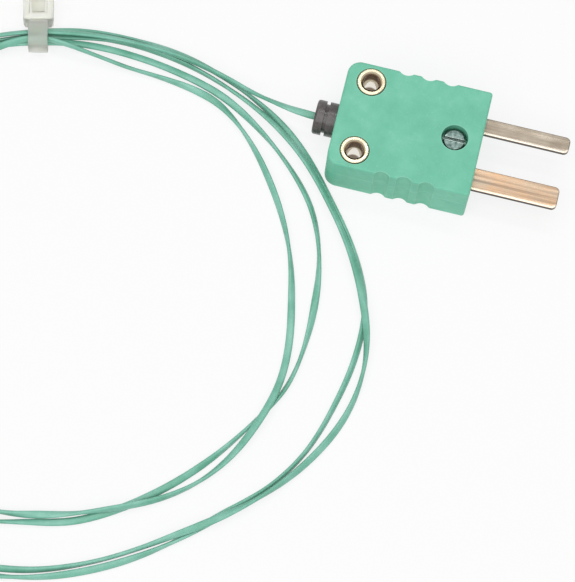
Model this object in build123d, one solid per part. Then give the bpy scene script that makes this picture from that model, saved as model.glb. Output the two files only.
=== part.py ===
from build123d import *
from math import cos, sin, radians, exp, tan, pi
import os

# Thermocouple (type K) with a miniature flat-pin plug and a hand-coiled twin lead.
# Millimetres. +X runs from the lead towards the blade tips, +Z is up, z = 0 is the table.
# The origin is at the middle of the plug's length and width, on the table.

# ---- plug body ----
body_length = 20.0
body_width = 15.6
body_height = 8.0
parting_height = 4.6        # top of the base, where the cover sits
rear_corner_radius = 1.8
front_corner_radius = 0.4
rim_radius = 0.3
floor_thickness = 1.0
roof_thickness = 0.8
side_wall = 1.2
rear_wall = 1.6
front_block = 6.0           # solid nylon behind the mating face
groove_count = 3            # finger grooves in each long side
groove_pitch = 3.1
groove_first = 7.9          # first groove behind the rear face's plane
groove_radius = 1.4
groove_depth = 0.5

# ---- blades and terminals ----
blade_spacing = 7.92
blade_projection = 11.9
blade_thickness = 0.8
blade_tip_radius = 0.7
blade_edge_radius = 0.15
positive_blade_width = 2.4
negative_blade_width = 3.2
terminal_setback = 8.0      # terminal screw's axis behind the mating face
terminal_nut_size = 3.4
terminal_nut_height = 1.6
terminal_nut_corner = 0.2
washer_radius = 1.8
washer_thickness = 0.3
terminal_head_radius = 1.6
terminal_head_height = 0.9
terminal_shank_length = 3.9
screw_radius = 0.95         # M2 over its thread, less the running clearance
nut_bore_radius = 1.0

# ---- cover screw ----
cover_screw_setback = 3.7   # axis behind the mating face
cover_recess_radius = 1.85
cover_recess_depth = 2.0
cover_head_radius = 1.55
cover_head_height = 1.3
cover_shank_length = 4.3
insert_radius = 1.6
insert_length = 3.1
insert_waist = (0.75, 0.2)   # length and depth of the plain band between the knurls
slot_width = 0.45
slot_depth = 0.5
screw_edge = 0.25           # rounded head edge and chamfered point

# ---- clamp bushes ----
bush_from_side = 2.65
bush_from_rear = 3.5
bush_radius = 1.95
bush_bore_radius = 1.2
bush_lip = 0.15             # how far the bush stands above the cover
bush_chamfer = 0.3
boss_wall = 0.7             # in front of a bush

# ---- grommet ----
lead_axis_height = 4.0
grommet_projection = 3.0
grommet_radius = 2.4
grommet_neck_radius = 1.8
grommet_flange_radius = 2.3
grommet_flange_thickness = 0.9
grommet_groove_width = 0.5
grommet_groove_depth = 0.4
grommet_edge = 0.35

# ---- lead ----
lead_width = 1.05
lead_thickness = 0.62
core_diameter = 0.48
conductor_diameter = 0.2
hook_radius = 1.15          # bare wire round the terminal screw
sheath_end = 3.0            # the sheath ends this far inside the rear face

# ---- coil: four turns, the outer pair first, then the inner pair ----
coil_from_plug = (-30.65, -26.6)   # the coil's centre from the grommet's end and the plug's side
coil_turned = 14.2          # the tie stands at 90 degrees in the coil's own frame
outer_radius = 40.6
outer_waves = ((0.8, 1, 80), (2.7, 2, 0), (0.4, 4, -17))          # (amount, lobes, peak)
outer_weave = ((0.4, 2, -16), (0.3, 3, -36), (0.1, 4, -20))
inner_radius = 35.1
inner_waves = ((3.7, 1, 87), (0.9, 2, 8), (0.4, 3, -41))
inner_weave = ((-0.3, 0, 0), (-0.6, 1, 3), (0.5, 2, -46), (0.8, 3, -45), (0.2, 4, -44))
bow_amount, bow_at, bow_spread = -2.2, 70, 12                     # one slack turn
tie_radius = 38.5
gather_spread = 18          # degrees either side of the tie over which the turns close up
tie_offsets = (1.0, 0.0, -1.0, -0.5)                              # where each turn ends
coil_height = 2.1           # two leads deep
bundle_top = 2.95
saddle_left, saddle_right = -10.0, 28.0   # where the raised bundle starts and ends
saddle_foot = 9.0           # the bundle leaves the table this far from the tie

# ---- cable tie ----
strap_width = 2.7
strap_thickness = 0.9
tie_head_width = 4.2
tie_head_length = 4.6
tie_head_height = 3.3
tie_tail_length = 2.0

# ---- measuring tip ----
tip_spread = 0.32
bead_radius = 0.4
sheath_tip = (119, 32.8, 0.53)     # angle, radius and height in the coil's frame
core_tip = (128, 30.6)
bead_place = (132.5, 29.6)

# ---- clearances ----
running = 0.05              # turning or sliding pieces
seat = 0.02                 # pieces that stay put
cover_clearance = 0.1       # cover over the bushes and blades
flange_clearance = 0.2      # grommet's inner flange in the wire space
shank_room = 0.45           # below the end of a terminal screw
insert_room = 0.2           # below the cover insert, or the screw where that is lower

# ---- places worked out from the sizes ----
total_length = grommet_projection + body_length + blade_projection
rear_x = -total_length / 2 + grommet_projection
mating_x = rear_x + body_length
exit_x = rear_x - grommet_projection
coil_centre = (exit_x + coil_from_plug[0], -body_width / 2 + coil_from_plug[1])
terminal_x = mating_x - terminal_setback
blade_start_x = terminal_x - washer_radius - 0.1
cover_screw_x = mating_x - cover_screw_setback
bush_x = rear_x + bush_from_rear
bush_spacing = body_width - 2 * bush_from_side
neck_end_x = bush_x + bush_radius + boss_wall
hall_front_x = blade_start_x - 0.2
neck_half_width = grommet_flange_radius + flange_clearance
hall_half_width = body_width / 2 - side_wall
ceiling_height = body_height - roof_thickness
blade_bottom = parting_height - blade_thickness / 2
blade_top = blade_bottom + blade_thickness
washer_bottom = blade_top + conductor_diameter + running
washer_top = washer_bottom + washer_thickness
recess_floor = body_height - cover_recess_depth
shank_hole_bottom = washer_top - terminal_shank_length - shank_room
insert_hole_bottom = min(parting_height - insert_length,
                         recess_floor - cover_shank_length) - insert_room
terminals = {"positive": (blade_spacing / 2, positive_blade_width),
             "negative": (-blade_spacing / 2, negative_blade_width)}


def block(x0, x1, y0, y1, z0, z1):
    """A box between two corners."""
    return Pos((x0 + x1) / 2, (y0 + y1) / 2, (z0 + z1) / 2) * Box(x1 - x0, y1 - y0, z1 - z0)


def pillar(x, y, z0, z1, radius):
    """An upright cylinder between two heights."""
    return Pos(x, y, (z0 + z1) / 2) * Cylinder(radius, z1 - z0)


def lying_cylinder(x0, x1, z, radius):
    """A cylinder along X on the centreline."""
    return Pos((x0 + x1) / 2, 0, z) * Rot(0, 90, 0) * Cylinder(radius, x1 - x0)


def body_blank(z0, z1, rim_is_top):
    """Half of the plug's outside: rounded corners, one rounded rim and the finger grooves."""
    blank = block(rear_x, mating_x, -body_width / 2, body_width / 2, z0, z1)
    blank = fillet(blank.edges().filter_by(Axis.Z).group_by(Axis.X)[0], rear_corner_radius)
    blank = fillet(blank.edges().filter_by(Axis.Z).group_by(Axis.X)[-1], front_corner_radius)
    rim_face = blank.faces().sort_by(Axis.Z)[-1 if rim_is_top else 0]
    blank = fillet(rim_face.edges(), rim_radius)
    for number in range(groove_count):
        x = rear_x + groove_first + number * groove_pitch
        for side in (1, -1):
            y = side * (body_width / 2 + groove_radius - groove_depth)
            blank -= pillar(x, y, z0 - 1, z1 + 1, groove_radius)
    return blank


def bush_places():
    return [(bush_x, side * bush_spacing / 2) for side in (1, -1)]


def chamber(z0, z1, hall_end_x):
    """The wire space: a neck between the bush bosses, opening into a hall."""
    neck = block(rear_x + rear_wall, neck_end_x + 0.1, -neck_half_width, neck_half_width, z0, z1)
    hall = block(neck_end_x, hall_end_x, -hall_half_width, hall_half_width, z0, z1)
    return neck + hall


def plug_base():
    part = body_blank(0, parting_height, False)
    part -= chamber(floor_thickness, parting_height + 1, hall_front_x)
    for y, width in terminals.values():
        half = width / 2 + cover_clearance
        part -= block(hall_front_x - 1, mating_x + 1, y - half, y + half,
                      blade_bottom, parting_height + 1)
        pocket = terminal_nut_size / 2 + running
        part -= block(terminal_x - pocket, terminal_x + pocket, y - pocket, y + pocket,
                      blade_bottom - terminal_nut_height - seat, parting_height + 1)
        part -= pillar(terminal_x, y, shank_hole_bottom, parting_height,
                       screw_radius + cover_clearance)
    part -= pillar(cover_screw_x, 0, insert_hole_bottom, parting_height + 1,
                   insert_radius + seat)
    for x, y in bush_places():
        part -= pillar(x, y, -1, parting_height + 1, bush_radius + seat)
    neck = grommet_neck_radius + seat
    part -= lying_cylinder(rear_x - 1, rear_x + rear_wall + 1, lead_axis_height, neck)
    part -= block(rear_x - 1, rear_x + rear_wall + 1, -neck, neck,
                  lead_axis_height, parting_height + 1)
    return part


def plug_cover():
    part = body_blank(parting_height, body_height, True)
    part -= chamber(parting_height - 1, ceiling_height, mating_x - front_block)
    for y, width in terminals.values():
        half = width / 2 + cover_clearance
        part -= block(mating_x - front_block - 1, mating_x + 1, y - half, y + half,
                      parting_height - 1, blade_top + running)
    part -= pillar(cover_screw_x, 0, parting_height - 1, body_height, screw_radius + cover_clearance)
    part -= pillar(cover_screw_x, 0, recess_floor, body_height + 1, cover_recess_radius)
    for x, y in bush_places():
        part -= pillar(x, y, parting_height - 1, body_height + 1, bush_radius + cover_clearance)
    part -= lying_cylinder(rear_x - 1, rear_x + rear_wall + 1, lead_axis_height,
                           grommet_neck_radius + cover_clearance)
    return part


def blade(y, width):
    """A flat pin: rounded tip corners, softened edges and a hole for the terminal screw."""
    tip_x = mating_x + blade_projection
    part = block(blade_start_x, tip_x, y - width / 2, y + width / 2, blade_bottom, blade_top)
    part = fillet(part.edges().filter_by(Axis.Z).group_by(Axis.X)[-1], blade_tip_radius)
    flat_faces = part.faces().filter_by(Axis.Z)
    part = fillet(flat_faces.edges(), blade_edge_radius)
    return part - pillar(terminal_x, y, blade_bottom - 1, blade_top + 1,
                         screw_radius + cover_clearance)


def terminal_nut(y):
    half = terminal_nut_size / 2
    part = block(terminal_x - half, terminal_x + half, y - half, y + half,
                 blade_bottom - terminal_nut_height, blade_bottom)
    part = fillet(part.edges().filter_by(Axis.Z), terminal_nut_corner)
    return part - pillar(terminal_x, y, 0, parting_height, nut_bore_radius)


def clamp_washer(y):
    ring = pillar(terminal_x, y, washer_bottom, washer_top, washer_radius)
    return ring - pillar(terminal_x, y, washer_bottom - 1, washer_top + 1,
                         screw_radius + cover_clearance)


def slotted_screw(x, y, head_bottom, head_radius, head_height, shank_length):
    """A cheese-head screw with a slot across X and a pointed-off shank."""
    head = pillar(x, y, head_bottom, head_bottom + head_height, head_radius)
    head = fillet(head.edges().group_by(Axis.Z)[-1], screw_edge)
    slot = block(x - head_radius - 1, x + head_radius + 1, y - slot_width / 2, y + slot_width / 2,
                 head_bottom + head_height - slot_depth, head_bottom + head_height + 1)
    shank = pillar(x, y, head_bottom - shank_length, head_bottom, screw_radius)
    shank = chamfer(shank.edges().group_by(Axis.Z)[0], screw_edge)
    return head - slot + shank


def cover_insert():
    """A brass sleeve with two knurl bands, set flush with the base's top."""
    top, middle = parting_height, parting_height - insert_length / 2
    waist_length, waist_depth = insert_waist
    part = pillar(cover_screw_x, 0, top - insert_length, top, insert_radius)
    waist = pillar(cover_screw_x, 0, middle - waist_length / 2, middle + waist_length / 2,
                   insert_radius + 1)
    waist -= pillar(cover_screw_x, 0, 0, top + 1, insert_radius - waist_depth)
    return part - waist - pillar(cover_screw_x, 0, 0, top + 1, nut_bore_radius)


def clamp_bush(y):
    """A brass tube right through base and cover, with a rounded and chamfered lip."""
    top = body_height + bush_lip
    tube = pillar(bush_x, y, 0, top, bush_radius) - pillar(bush_x, y, -1, top + 1, bush_bore_radius)
    rims = tube.edges().filter_by(GeomType.CIRCLE).group_by(Axis.Z)[-1].sort_by(SortBy.RADIUS)
    tube = chamfer(rims[0], bush_chamfer)
    rims = tube.edges().filter_by(GeomType.CIRCLE).group_by(Axis.Z)[-1].sort_by(SortBy.RADIUS)
    return fillet(rims[-1], bush_lip)


def flat_lead_section():
    """The lead's section: two cores side by side in a thin sheath."""
    return SlotOverall(lead_width, lead_thickness)


def lead_plane(x):
    """A plane across the lead, its width along Y."""
    return Plane(origin=(x, 0, lead_axis_height), x_dir=(0, 1, 0), z_dir=(1, 0, 0))


def cable_grommet():
    """Rubber bush: ribbed outside part, neck in the rear wall and an inner flange."""
    outer = lying_cylinder(exit_x, rear_x - seat, lead_axis_height, grommet_radius)
    outer = fillet(outer.edges().group_by(Axis.X)[0], grommet_edge)
    groove_x = (exit_x + rear_x) / 2
    groove = lying_cylinder(groove_x - grommet_groove_width / 2, groove_x + grommet_groove_width / 2,
                            lead_axis_height, grommet_radius + 1)
    groove -= lying_cylinder(exit_x, rear_x, lead_axis_height, grommet_radius - grommet_groove_depth)
    inner_x = rear_x + rear_wall + seat
    part = outer - groove
    part += lying_cylinder(rear_x - seat, inner_x, lead_axis_height, grommet_neck_radius)
    part += lying_cylinder(inner_x, inner_x + grommet_flange_thickness, lead_axis_height,
                           grommet_flange_radius)
    bore = extrude(lead_plane(exit_x) * SlotOverall(lead_width + 2 * seat,
                                                    lead_thickness + 2 * seat), total_length)
    return part - bore


def inner_sheath():
    """The sheathed lead through the grommet, up to where its cores part."""
    return extrude(lead_plane(exit_x) * flat_lead_section(), sheath_end + grommet_projection)


def round_tube(points, radii, diameter):
    """A round rod along straight runs joined by tangent arcs."""
    path = FilletPolyline(*points, radius=radii) if radii else Polyline(*points)
    start = Plane(origin=path @ 0, z_dir=path % 0)
    return sweep(start * Circle(diameter / 2), path=path)


def arc_radii(points):
    """The largest tangent arcs that the runs leave room for, one at each inner point."""
    points = [Vector(*point) for point in points]
    radii = []
    for before, corner, after in zip(points, points[1:], points[2:]):
        run_in, run_out = corner - before, after - corner
        half_turn = radians(run_in.get_angle(run_out)) / 2
        radii.append(0.45 * min(run_in.length, run_out.length) / tan(half_turn))
    return radii


def core_route(side):
    """An insulated core from the sheath's end to the edge of its clamp washer."""
    core_y = side * core_diameter / 2 * 1.04
    hook_y = side * (blade_spacing / 2 - hook_radius)
    wire_z = blade_top + conductor_diameter / 2
    sheath_x = rear_x + sheath_end
    return [(sheath_x, core_y, lead_axis_height),
            (sheath_x + 1.4, core_y + side * 0.1, lead_axis_height),
            (sheath_x + 3.6, side * (blade_spacing / 2 - hook_radius) * 0.62, wire_z - 0.45),
            (hall_front_x - 1.6, hook_y, wire_z),
            (hall_front_x - 0.1, hook_y, wire_z)]


def conductor(side):
    """Bare wire from the core's end, hooked half way round the terminal screw."""
    start_x, hook_y, wire_z = core_route(side)[-1]
    y = side * blade_spacing / 2
    straight = Line((start_x, hook_y, wire_z), (terminal_x, hook_y, wire_z))
    hook = ThreePointArc((terminal_x, hook_y, wire_z), (terminal_x + hook_radius, y, wire_z),
                         (terminal_x, y + side * hook_radius, wire_z))
    start = Plane(origin=(start_x, hook_y, wire_z), z_dir=(1, 0, 0))
    return sweep(start * Circle(conductor_diameter / 2), path=straight + hook)


# ---- the coil's own frame: angle about its centre, radius, height ----

def coil_place(angle, radius, height):
    turned = radians(angle + coil_turned)
    return (coil_centre[0] + radius * cos(turned), coil_centre[1] + radius * sin(turned), height)


def wave_sum(angle, waves):
    return sum(amount * cos(radians(lobes * (angle - peak))) for amount, lobes, peak in waves)


def gather(angle):
    """1 at the tie, falling to 0 where the turns lie free."""
    away = (angle - 90 + 180) % 360 - 180
    return exp(-(away / gather_spread) ** 2)


def free_radius(turn, angle):
    """A turn's radius where nothing holds it; turns 0 and 1 are the outer pair."""
    side = -1 if turn in (0, 2) else 1
    if turn < 2:
        return outer_radius + wave_sum(angle, outer_waves) + side * wave_sum(angle, outer_weave)
    radius = inner_radius + wave_sum(angle, inner_waves) + side * wave_sum(angle, inner_weave)
    if turn == 3:
        away = (angle - bow_at + 180) % 360 - 180
        radius += bow_amount * exp(-(away / bow_spread) ** 2)
    return radius


def turn_radius(turn, angle):
    """A turn's radius with the tie's pull: its end side comes in to its own place."""
    pull = gather(angle)
    return free_radius(turn, angle) * (1 - pull) + (tie_radius + tie_offsets[turn]) * pull


def lead_coil():
    """One solid with the coil's outer shape: a flat ring that closes up at the tie."""
    steps = range(0, 360, 5)
    outer = [coil_place(a, max(turn_radius(t, a) for t in range(4)) + lead_width / 2, 0)
             for a in steps]
    inner = [coil_place(a, min(turn_radius(t, a) for t in range(4)) - lead_width / 2, 0)
             for a in steps]
    ring = make_face(Polyline(*outer, close=True)) - make_face(Polyline(*inner, close=True))
    low = extrude(ring, coil_height)
    tall = extrude(ring, bundle_top)
    frame = Pos(coil_centre[0], coil_centre[1], 0) * Rot(0, 0, coil_turned)
    lift = strap_thickness + running
    near, far = tie_radius / 2, tie_radius * 1.3
    rest = tie_head_width / 2 + 0.4
    side_view = Plane(origin=(0, near, 0), x_dir=(1, 0, 0), z_dir=(0, -1, 0))
    outline = Polyline((saddle_left, 0), (-rest, lift), (rest, lift), (saddle_foot, 0),
                       (saddle_right, 0), (saddle_right, coil_height),
                       (saddle_right - 3, bundle_top), (-rest, bundle_top),
                       (saddle_left, coil_height), close=True)
    saddle = frame * extrude(side_view * make_face(outline), near - far)
    zone = frame * block(saddle_left, saddle_right, near, far, -1, bundle_top + 1)
    return (low - zone) + (tall & saddle)


tail_route = [(exit_x, 0, lead_axis_height), (exit_x - 2.6, 0.1, lead_axis_height),
              (exit_x - 5.9, 0.7, 3.2), coil_place(46, 41.1, 2.4)]
end_route = [coil_place(101, 37.3, 1.5), coil_place(107, 35.9, 0.8),
             coil_place(113, 34.5, 0.55), coil_place(*sheath_tip)]


def coil_tie():
    """Nylon tie: a strap round the bundle, its head on the outer side and the cut-off tail."""
    frame = Pos(coil_centre[0], coil_centre[1], 0) * Rot(0, 0, coil_turned)
    half_bundle = max(tie_offsets) + lead_width / 2 + 2 * running
    low, high = strap_thickness, bundle_top + running
    y0, y1 = tie_radius - half_bundle, tie_radius + half_bundle
    w = strap_width / 2
    loop = block(-w, w, y0 - strap_thickness, y1 + strap_thickness, 0, high + strap_thickness)
    loop = fillet(loop.edges().filter_by(Axis.X), 0.85)
    loop -= block(-w - 1, w + 1, y0, y1, low, high)
    head_y = y1 + strap_thickness / 2
    h = tie_head_width / 2
    head = block(-h, h, head_y, head_y + tie_head_length, 0, tie_head_height)
    head = fillet(head.edges().filter_by(Axis.Y), 0.5)
    tail_y = head_y + tie_head_length
    middle = tie_head_height / 2
    tail = block(-w, w, tail_y - 1, tail_y + tie_tail_length,
                 middle - strap_thickness / 2, middle + strap_thickness / 2)
    return frame * (loop + head + tail)


def rod(start, end, diameter):
    """A straight round rod between two points."""
    a, b = Vector(*start), Vector(*end)
    return extrude(Plane(origin=a, z_dir=b - a) * Circle(diameter / 2), (b - a).length)


def tip_places(side):
    """Where a tip core starts and ends, and where its bare wire meets the bead."""
    angle, radius, height = sheath_tip
    start = coil_place(angle, radius + side * (core_diameter / 2 + seat), height)
    end = coil_place(core_tip[0], core_tip[1] + side * tip_spread, core_diameter / 2 + seat)
    bead = coil_place(bead_place[0], bead_place[1] + side * conductor_diameter, bead_radius)
    return start, end, bead


def save(name, part):
    part.label = name
    export_step(part, f"parts/{name}.step")


def main():
    os.makedirs("parts", exist_ok=True)
    save("plug_base", plug_base())
    save("plug_cover", plug_cover())
    save("cover_insert", cover_insert())
    save("cover_screw", slotted_screw(cover_screw_x, 0, recess_floor, cover_head_radius,
                                      cover_head_height, cover_shank_length))
    for name, side in (("left", 1), ("right", -1)):
        save(f"clamp_bush_{name}", clamp_bush(side * bush_spacing / 2))
    for name, (y, width) in terminals.items():
        side = 1 if y > 0 else -1
        save(f"{name}_blade", blade(y, width))
        save(f"{name}_terminal_nut", terminal_nut(y))
        save(f"{name}_clamp_washer", clamp_washer(y))
        save(f"{name}_terminal_screw", slotted_screw(terminal_x, y, washer_top,
                                                     terminal_head_radius, terminal_head_height,
                                                     terminal_shank_length))
        route = core_route(side)
        save(f"{name}_core", round_tube(route, arc_radii(route), core_diameter))
        save(f"{name}_conductor", conductor(side))
        start, end, bead = tip_places(side)
        save(f"tip_{name}_core", rod(start, end, core_diameter))
        save(f"tip_{name}_wire", rod(end, bead, conductor_diameter))
    save("cable_grommet", cable_grommet())
    save("inner_sheath", inner_sheath())
    for name, route in (("lead_tail", tail_route), ("lead_end", end_route)):
        radii = arc_radii(route)
        tube = round_tube(route, radii, lead_width)
        save(name, tube)
        length = tube.volume / (pi * lead_width ** 2 / 4)
        print(name, "radii", [round(r, 1) for r in radii], "length", round(length, 1))
    save("lead_coil", lead_coil())
    save("coil_tie", coil_tie())
    save("junction_bead", Pos(*coil_place(*bead_place, bead_radius)) * Sphere(bead_radius))


main()
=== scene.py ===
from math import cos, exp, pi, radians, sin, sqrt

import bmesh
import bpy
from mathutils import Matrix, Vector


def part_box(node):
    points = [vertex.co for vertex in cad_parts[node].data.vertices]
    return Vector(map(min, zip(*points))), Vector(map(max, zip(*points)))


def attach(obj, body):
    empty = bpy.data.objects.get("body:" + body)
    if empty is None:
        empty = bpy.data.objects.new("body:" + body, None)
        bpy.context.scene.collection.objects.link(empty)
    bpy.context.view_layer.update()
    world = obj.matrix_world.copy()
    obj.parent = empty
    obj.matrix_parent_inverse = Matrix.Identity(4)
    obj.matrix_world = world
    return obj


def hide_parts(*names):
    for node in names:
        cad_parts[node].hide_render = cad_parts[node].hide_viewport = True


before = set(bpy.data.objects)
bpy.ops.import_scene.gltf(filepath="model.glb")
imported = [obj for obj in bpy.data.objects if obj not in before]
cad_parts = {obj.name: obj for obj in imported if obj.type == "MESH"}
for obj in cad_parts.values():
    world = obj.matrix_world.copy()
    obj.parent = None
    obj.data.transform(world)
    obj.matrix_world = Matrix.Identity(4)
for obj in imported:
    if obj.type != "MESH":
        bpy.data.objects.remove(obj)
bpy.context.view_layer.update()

# %% [markdown]
# # A thermocouple with a miniature plug
# This lesson finishes a type K thermocouple: a green nylon plug with two flat pins, a rubber
# grommet, and a metre of thin twin lead wound by hand into a loose coil with a cable tie round
# it. The hard pieces come from the CAD frame at their real size. Here they get their finishes,
# and the soft or fine pieces (the lead, the tie and the welded tip) are modelled.

MM = 0.001
scene = bpy.context.scene


# %% [markdown]
# ## Camera
# A long lens far above the table flattens the perspective, as in a catalogue picture. The camera
# is placed by five plain facts: the spot on the table that it looks at, the direction that it
# stands in, how high it stands, how much it leans and how far away it is. A matrix built from
# three turns is easier to trust than typed Euler angles, because each turn has one meaning.

# %% Camera
aim = Vector((-15.39, -24.25, 0)) * MM
camera_azimuth, camera_elevation, camera_lean = radians(6.1), radians(70.75), radians(7.7)
camera_distance = 392.4 * MM
film_width, focal_length = 36.0, 180.9
camera_data = bpy.data.cameras.new("camera")
camera_data.sensor_fit = "HORIZONTAL"
camera_data.sensor_width = film_width
camera_data.lens = focal_length
camera = bpy.data.objects.new("camera", camera_data)
scene.collection.objects.link(camera)
turn = (Matrix.Rotation(camera_azimuth, 4, "Z")
        @ Matrix.Rotation(pi / 2 - camera_elevation, 4, "X")
        @ Matrix.Rotation(camera_lean, 4, "Z"))
camera.matrix_world = Matrix.Translation(aim + turn @ Vector((0, 0, camera_distance))) @ turn
scene.camera = camera
print("camera stands at", [round(x / MM, 1) for x in camera.matrix_world.translation], "mm")

# %% [markdown]
# ## Studio
# The set is a white table top, one very large soft light overhead and a long narrow one behind,
# with the sky filling in. A small lamp would give hard spots on the pins; the wide one wraps
# round the edges and keeps shadows faint, and the strip draws a bright line along them. The
# table should look white without pouring more light on the plug, so rays from the camera, and
# those seen in metal or through nylon, meet a partly glowing white while shadows still fall on
# it.


# %% Rays that see the white set
def sees_set(nodes, links, amount):
    """amount for camera, glossy and transmission rays, and 0 for the rays that light things."""
    path = nodes.new("ShaderNodeLightPath").outputs
    seen = path["Is Camera Ray"]
    for kind in ("Is Glossy Ray", "Is Transmission Ray"):
        either = nodes.new("ShaderNodeMath")
        either.operation = "MAXIMUM"
        links.new(seen, either.inputs[0])
        links.new(path[kind], either.inputs[1])
        seen = either.outputs[0]
    scaled = nodes.new("ShaderNodeMath")
    scaled.operation = "MULTIPLY"
    links.new(seen, scaled.inputs[0])
    scaled.inputs[1].default_value = amount
    return scaled.outputs[0]


# %% Sky
sky_fill = 0.42
world = bpy.data.worlds.new("studio")
world.use_nodes = True
scene.world = world
sky_nodes, sky_links = world.node_tree.nodes, world.node_tree.links
sky_nodes.clear()
fill = sky_nodes.new("ShaderNodeBackground")
fill.inputs["Strength"].default_value = sky_fill
white = sky_nodes.new("ShaderNodeBackground")
white.inputs["Strength"].default_value = 1.0
for background in (fill, white):
    background.inputs["Color"].default_value = (1, 1, 1, 1)
sky_mix = sky_nodes.new("ShaderNodeMixShader")
sky_out = sky_nodes.new("ShaderNodeOutputWorld")
sky_links.new(sees_set(sky_nodes, sky_links, 1.0), sky_mix.inputs[0])
sky_links.new(fill.outputs[0], sky_mix.inputs[1])
sky_links.new(white.outputs[0], sky_mix.inputs[2])
sky_links.new(sky_mix.outputs[0], sky_out.inputs["Surface"])
print("sky fill:", sky_fill)

# %% Table top
floor_side = 1.2
floor_white, floor_glow = 0.93, 0.80
floor_mesh = bpy.data.meshes.new("table_top")
bm = bmesh.new()
bmesh.ops.create_grid(bm, x_segments=1, y_segments=1, size=floor_side / 2)
bmesh.ops.translate(bm, verts=bm.verts, vec=aim)
bm.to_mesh(floor_mesh)
bm.free()
table_top = bpy.data.objects.new("table_top", floor_mesh)
scene.collection.objects.link(table_top)
table_paint = bpy.data.materials.new("table_white")
table_paint.use_nodes = True
paint_nodes, paint_links = table_paint.node_tree.nodes, table_paint.node_tree.links
paint_nodes.clear()
matte = paint_nodes.new("ShaderNodeBsdfDiffuse")
matte.inputs["Color"].default_value = (floor_white, floor_white, floor_white, 1)
glow = paint_nodes.new("ShaderNodeEmission")
glow.inputs["Strength"].default_value = 1.0
paint_mix = paint_nodes.new("ShaderNodeMixShader")
paint_out = paint_nodes.new("ShaderNodeOutputMaterial")
paint_links.new(sees_set(paint_nodes, paint_links, floor_glow), paint_mix.inputs[0])
paint_links.new(matte.outputs[0], paint_mix.inputs[1])
paint_links.new(glow.outputs[0], paint_mix.inputs[2])
paint_links.new(paint_mix.outputs[0], paint_out.inputs["Surface"])
floor_mesh.materials.append(table_paint)
print("table top:", floor_side, "m wide")


# %% Lamps
def soft_box(name, width, depth, place, radiance):
    """A lamp that faces the aim point; radiance is how bright its face looks."""
    lamp = bpy.data.lights.new(name, "AREA")
    lamp.shape = "RECTANGLE"
    lamp.size, lamp.size_y = width, depth
    lamp.energy = radiance * pi * width * depth
    obj = bpy.data.objects.new(name, lamp)
    scene.collection.objects.link(obj)
    obj.location = place
    obj.rotation_mode = "QUATERNION"
    obj.rotation_quaternion = (aim - Vector(place)).to_track_quat("-Z", "Y")


soft_box("overhead", width=1.1, depth=1.0, place=(-0.12, -0.42, 0.85), radiance=1.62)
soft_box("back_strip", width=0.7, depth=0.06, place=(0.02, 0.28, 0.80), radiance=8.0)
view = scene.view_settings
view.view_transform = "Standard"

# %% [markdown]
# ## Finishes
# Every finish starts from one Principled shader, and its detail comes from noise read at real
# scale: Object coordinates are metres, so a noise scale of 1000 has features about a millimetre
# across. Four small helpers cover nearly everything: a noise with its own stretch, a ramp that
# turns a grey value into a colour, a bump, and a mask for worn edges. Anything that is the same
# all over stays on the shader's socket.


# %% Finish helpers
def new_finish(name, colour, roughness, metallic=0.0):
    """A material with one Principled shader; returns the material and its shader."""
    finish = bpy.data.materials.new(name)
    finish.use_nodes = True
    shader = finish.node_tree.nodes["Principled BSDF"]
    shader.inputs["Base Color"].default_value = (*colour, 1)
    shader.inputs["Roughness"].default_value = roughness
    shader.inputs["Metallic"].default_value = metallic
    return finish, shader


def node(finish, kind, inputs=(), **settings):
    """A new node with its settings, and its inputs set or linked by name or number."""
    made = finish.node_tree.nodes.new(kind)
    for key, value in settings.items():
        setattr(made, key, value)
    for key, value in dict(inputs).items():
        if isinstance(value, bpy.types.NodeSocket):
            finish.node_tree.links.new(value, made.inputs[key])
        else:
            made.inputs[key].default_value = value
    return made


def noise(finish, scale, detail=3.0, roughness=0.55, stretch=(1, 1, 1)):
    """Noise on Object coordinates that have their own scale along each axis."""
    source = node(finish, "ShaderNodeTexCoord").outputs["Object"]
    mapping = node(finish, "ShaderNodeMapping", {"Vector": source, "Scale": stretch})
    return node(finish, "ShaderNodeTexNoise",
                {"Vector": mapping.outputs["Vector"], "Scale": scale, "Detail": detail,
                 "Roughness": roughness}).outputs["Fac"]


def ramp(finish, value, stops):
    """Turns a value into the colours or greys given as (place, colour) stops."""
    made = node(finish, "ShaderNodeValToRGB", {"Fac": value})
    elements = made.color_ramp.elements
    while len(elements) < len(stops):
        elements.new(0.5)
    for element, (place, colour) in zip(elements, stops):
        element.position = place
        element.color = (*colour, 1) if isinstance(colour, tuple) else (colour, colour, colour, 1)
    return made.outputs["Color"]


def mixed(finish, amount, first, second):
    """Colour mix; amount may be a number or a socket."""
    made = node(finish, "ShaderNodeMix", data_type="RGBA")
    for number, value in ((0, amount), (6, first), (7, second)):
        if isinstance(value, bpy.types.NodeSocket):
            finish.node_tree.links.new(value, made.inputs[number])
        elif isinstance(value, tuple):
            made.inputs[number].default_value = (*value, 1)
        else:
            made.inputs[number].default_value = value
    return made.outputs[2]


def bump(finish, shader, height, depth, strength, under=None):
    """Relief of the given depth in millimetres, laid over an earlier one if there is one."""
    inputs = {"Height": height, "Distance": depth * MM, "Strength": strength}
    if under is not None:
        inputs["Normal"] = under
    made = node(finish, "ShaderNodeBump", inputs)
    finish.node_tree.links.new(made.outputs["Normal"], shader.inputs["Normal"])
    return made.outputs["Normal"]


def feed(finish, shader, **sockets):
    """Links outputs to the shader's sockets; Base_Color stands for Base Color."""
    for key, output in sockets.items():
        finish.node_tree.links.new(output, shader.inputs[key.replace("_", " ")])


bevel_samples = 6


def rounded_normal(finish, radius):
    """The surface's direction with its edges rounded by the radius, in millimetres."""
    return node(finish, "ShaderNodeBevel", {"Radius": radius * MM},
                samples=bevel_samples).outputs["Normal"]


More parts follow.
